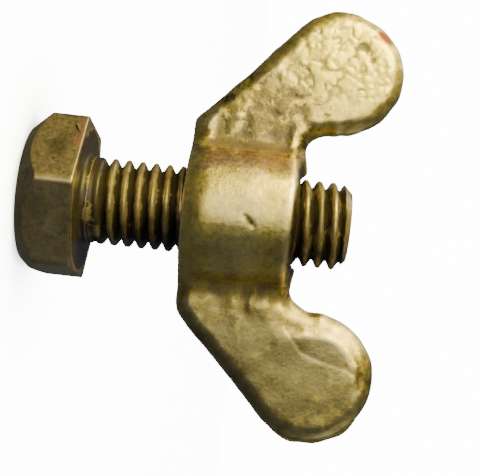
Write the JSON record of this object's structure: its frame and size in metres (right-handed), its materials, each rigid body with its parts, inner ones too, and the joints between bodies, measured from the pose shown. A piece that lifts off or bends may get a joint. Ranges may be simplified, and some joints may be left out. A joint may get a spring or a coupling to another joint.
{
  "type": "wing nut and bolt",
  "caption": "Solid brass hexagon-head bolt with a two-winged, thumb-turned nut that screws along its M8 thread.",
  "frame": {"origin": "centre of the outer face of the bolt head, on the bolt's axis", "axes": "+Z along the bolt from head to free end, +X along the wings at rest, +Y square to the wings"},
  "size_m": [0.0392, 0.0158, 0.0329],
  "materials": {
    "machined_brass": "aged, dull satin",
    "cast_brass": "as cast, dull with rubbed high spots"
  },
  "bodies": {
    "bolt": {"hex_bolt": "machined_brass"},
    "nut_carriage": {"nut_core_ring": "cast_brass"},
    "nut": {"wing_nut": "cast_brass"}
  },
  "joints": [
    {"name": "nut_travel", "type": "slide", "parent": "bolt", "child": "nut_carriage", "axis": [0, 0, 1], "range_m": [-0.00676, 0.01601]},
    {"name": "nut_spin", "type": "hinge", "parent": "nut_carriage", "child": "nut", "pos_m": [0, 0, 0.0143], "axis": [0, 0, 1], "range_deg": [-1944, 4608]}
  ],
  "couplings": [
    {"joint": "nut_travel", "follows": "nut_spin", "m_per_rad": 0.00019894}
  ]
}
